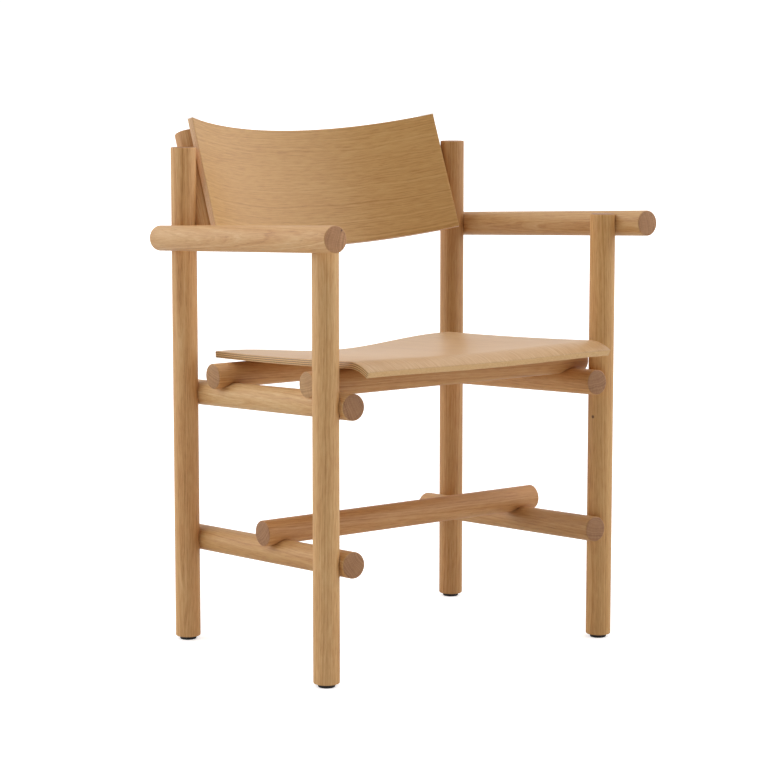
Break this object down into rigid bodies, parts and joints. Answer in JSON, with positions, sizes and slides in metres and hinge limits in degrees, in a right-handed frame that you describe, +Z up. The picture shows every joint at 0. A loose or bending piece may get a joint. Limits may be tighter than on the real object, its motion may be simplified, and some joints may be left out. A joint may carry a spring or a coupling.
{
  "type": "armchair",
  "caption": "Wooden armchair of lapped round bars with a bent plywood seat, a curved plywood back and two level arm bars.",
  "frame": {"origin": "on the floor, under the middle of the chair's outline", "axes": "+Z up, +Y to the back of the chair, +X to the sitter's left; the sitter faces -Y"},
  "size_m": [0.6116, 0.5229, 0.796],
  "materials": {
    "oiled_oak": "solid oak bars, sanded round, matt oil or lacquer, end grain left showing",
    "seat_plywood": "oak-faced bent plywood, grain from front to back, satin lacquer, bare laminated edges",
    "back_plywood": "oak-faced bent plywood, grain across the chair, satin lacquer, bare laminated edges",
    "beech_dowel": "plain beech dowel, hidden in the joints",
    "zinc_steel": "zinc-plated steel screws and nails",
    "black_plastic": "moulded black polyethylene glides"
  },
  "bodies": {
    "root": {"rear_post_left": "oiled_oak", "front_leg_left": "oiled_oak", "arm_left": "oiled_oak", "seat_rail_left": "oiled_oak", "stretcher_left": "oiled_oak", "back_upright_left": "oiled_oak", "rear_post_right": "oiled_oak", "front_leg_right": "oiled_oak", "arm_right": "oiled_oak", "seat_rail_right": "oiled_oak", "stretcher_right": "oiled_oak", "back_upright_right": "oiled_oak", "cross_rail_front": "oiled_oak", "cross_rail_rear": "oiled_oak", "cross_stretcher": "oiled_oak", "seat_shell": "seat_plywood", "back_panel": "back_plywood", "dowel_arm_front_left": "beech_dowel", "dowel_arm_rear_left": "beech_dowel", "dowel_seat_rail_front_left": "beech_dowel", "dowel_seat_rail_rear_left": "beech_dowel", "dowel_stretcher_front_left": "beech_dowel", "dowel_stretcher_rear_left": "beech_dowel", "dowel_cross_rail_front_left": "beech_dowel", "dowel_cross_rail_rear_left": "beech_dowel", "dowel_cross_stretcher_left": "beech_dowel", "dowel_upright_upper_left": "beech_dowel", "dowel_upright_lower_left": "beech_dowel", "seat_screw_front_left": "zinc_steel", "glide_front_left": "black_plastic", "glide_nail_front_left": "zinc_steel", "seat_screw_rear_left": "zinc_steel", "glide_rear_left": "black_plastic", "glide_nail_rear_left": "zinc_steel", "back_screw_upper_left": "zinc_steel", "back_screw_lower_left": "zinc_steel", "dowel_arm_front_right": "beech_dowel", "dowel_arm_rear_right": "beech_dowel", "dowel_seat_rail_front_right": "beech_dowel", "dowel_seat_rail_rear_right": "beech_dowel", "dowel_stretcher_front_right": "beech_dowel", "dowel_stretcher_rear_right": "beech_dowel", "dowel_cross_rail_front_right": "beech_dowel", "dowel_cross_rail_rear_right": "beech_dowel", "dowel_cross_stretcher_right": "beech_dowel", "dowel_upright_upper_right": "beech_dowel", "dowel_upright_lower_right": "beech_dowel", "seat_screw_front_right": "zinc_steel", "glide_front_right": "black_plastic", "glide_nail_front_right": "zinc_steel", "seat_screw_rear_right": "zinc_steel", "glide_rear_right": "black_plastic", "glide_nail_rear_right": "zinc_steel", "back_screw_upper_right": "zinc_steel", "back_screw_lower_right": "zinc_steel"}
  },
  "joints": []
}
